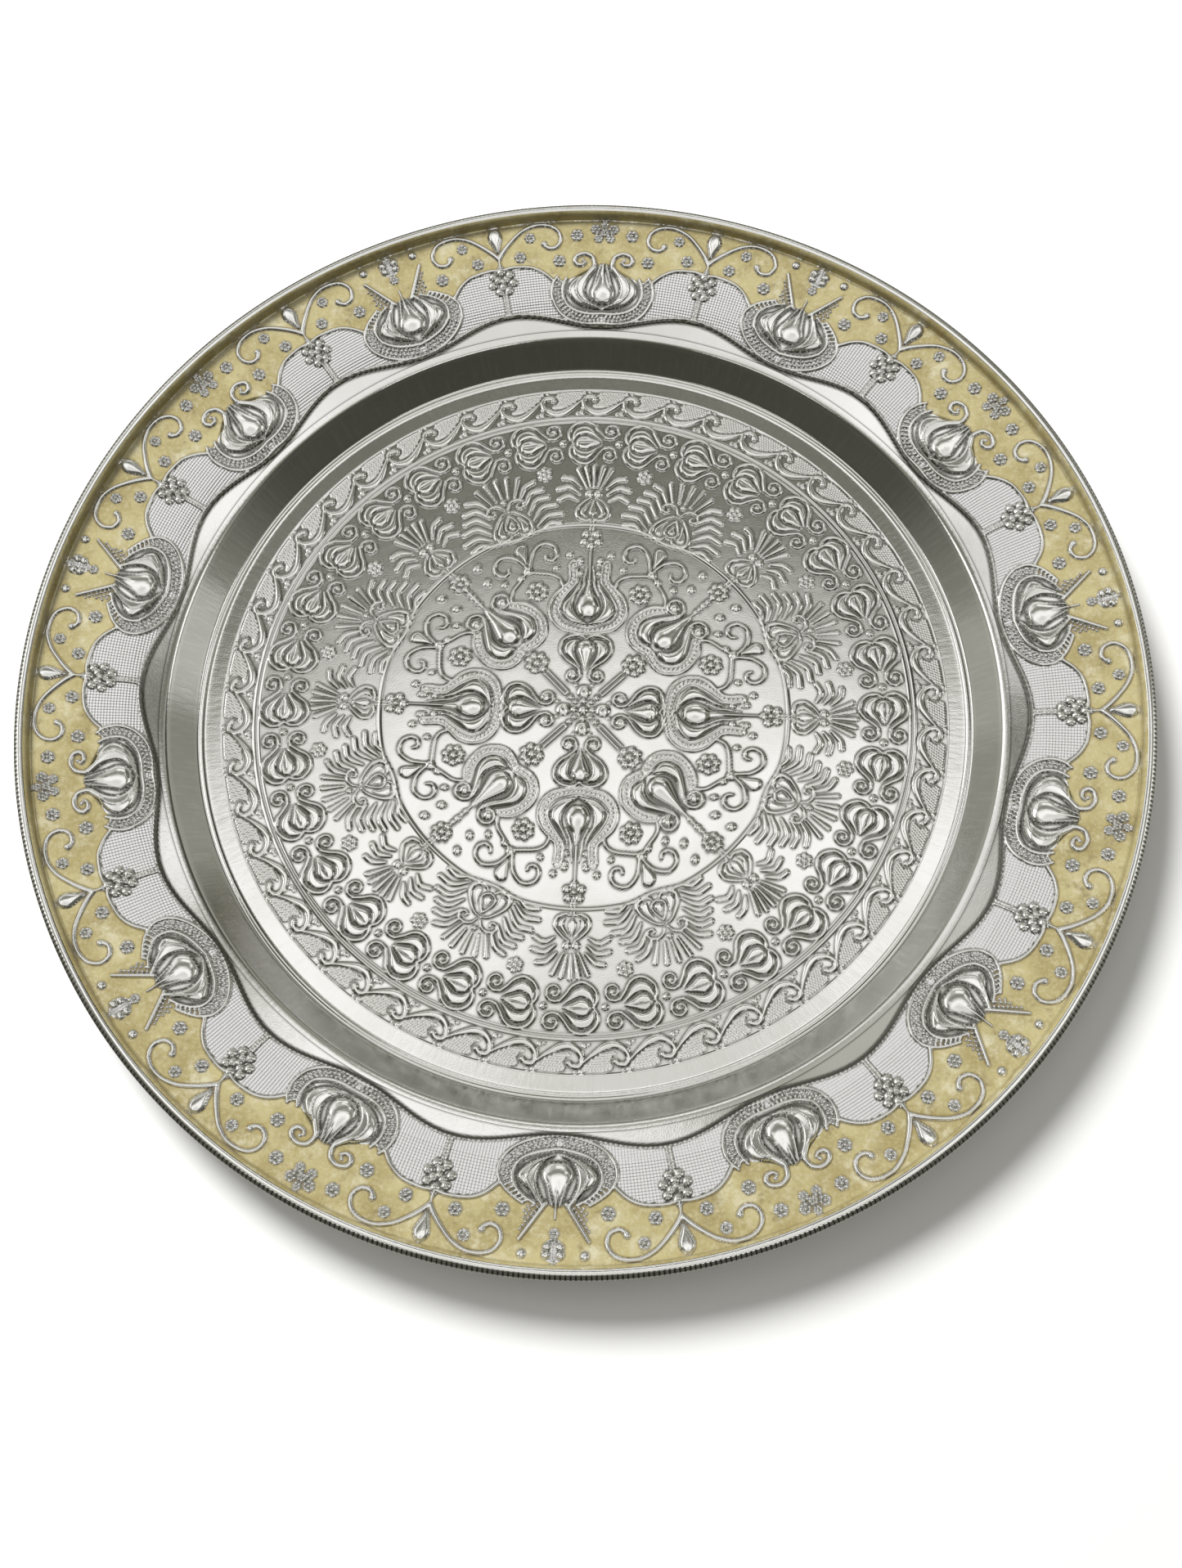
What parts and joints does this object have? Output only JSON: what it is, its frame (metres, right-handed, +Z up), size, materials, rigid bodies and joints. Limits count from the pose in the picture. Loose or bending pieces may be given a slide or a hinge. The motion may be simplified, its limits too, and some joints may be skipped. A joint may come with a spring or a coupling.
{
  "type": "offering plate",
  "caption": "Round pressed-metal offering plate: embossed tulip rim with a gold enamel ground, wired rolled edge, sloping wall and flat floor.",
  "frame": {"origin": "on the plate's axis, in the plane of the floor's underside that it stands on", "axes": "+Z up along the plate's axis; +Y towards the middle of a tulip with curled horns on the rim"},
  "size_m": [0.35, 0.35, 0.0227],
  "materials": {
    "silver_plate": "polished nickel-silver plate, embossed, with finely textured cells on the rim",
    "steel_wire": "drawn steel wire, hidden inside the rolled edge",
    "gold_enamel": "pearly gold enamel with light and dark streaks, glossy"
  },
  "bodies": {
    "root": {"tray_body": "silver_plate", "edge_wire": "steel_wire", "rim_enamel": "gold_enamel"}
  },
  "joints": []
}
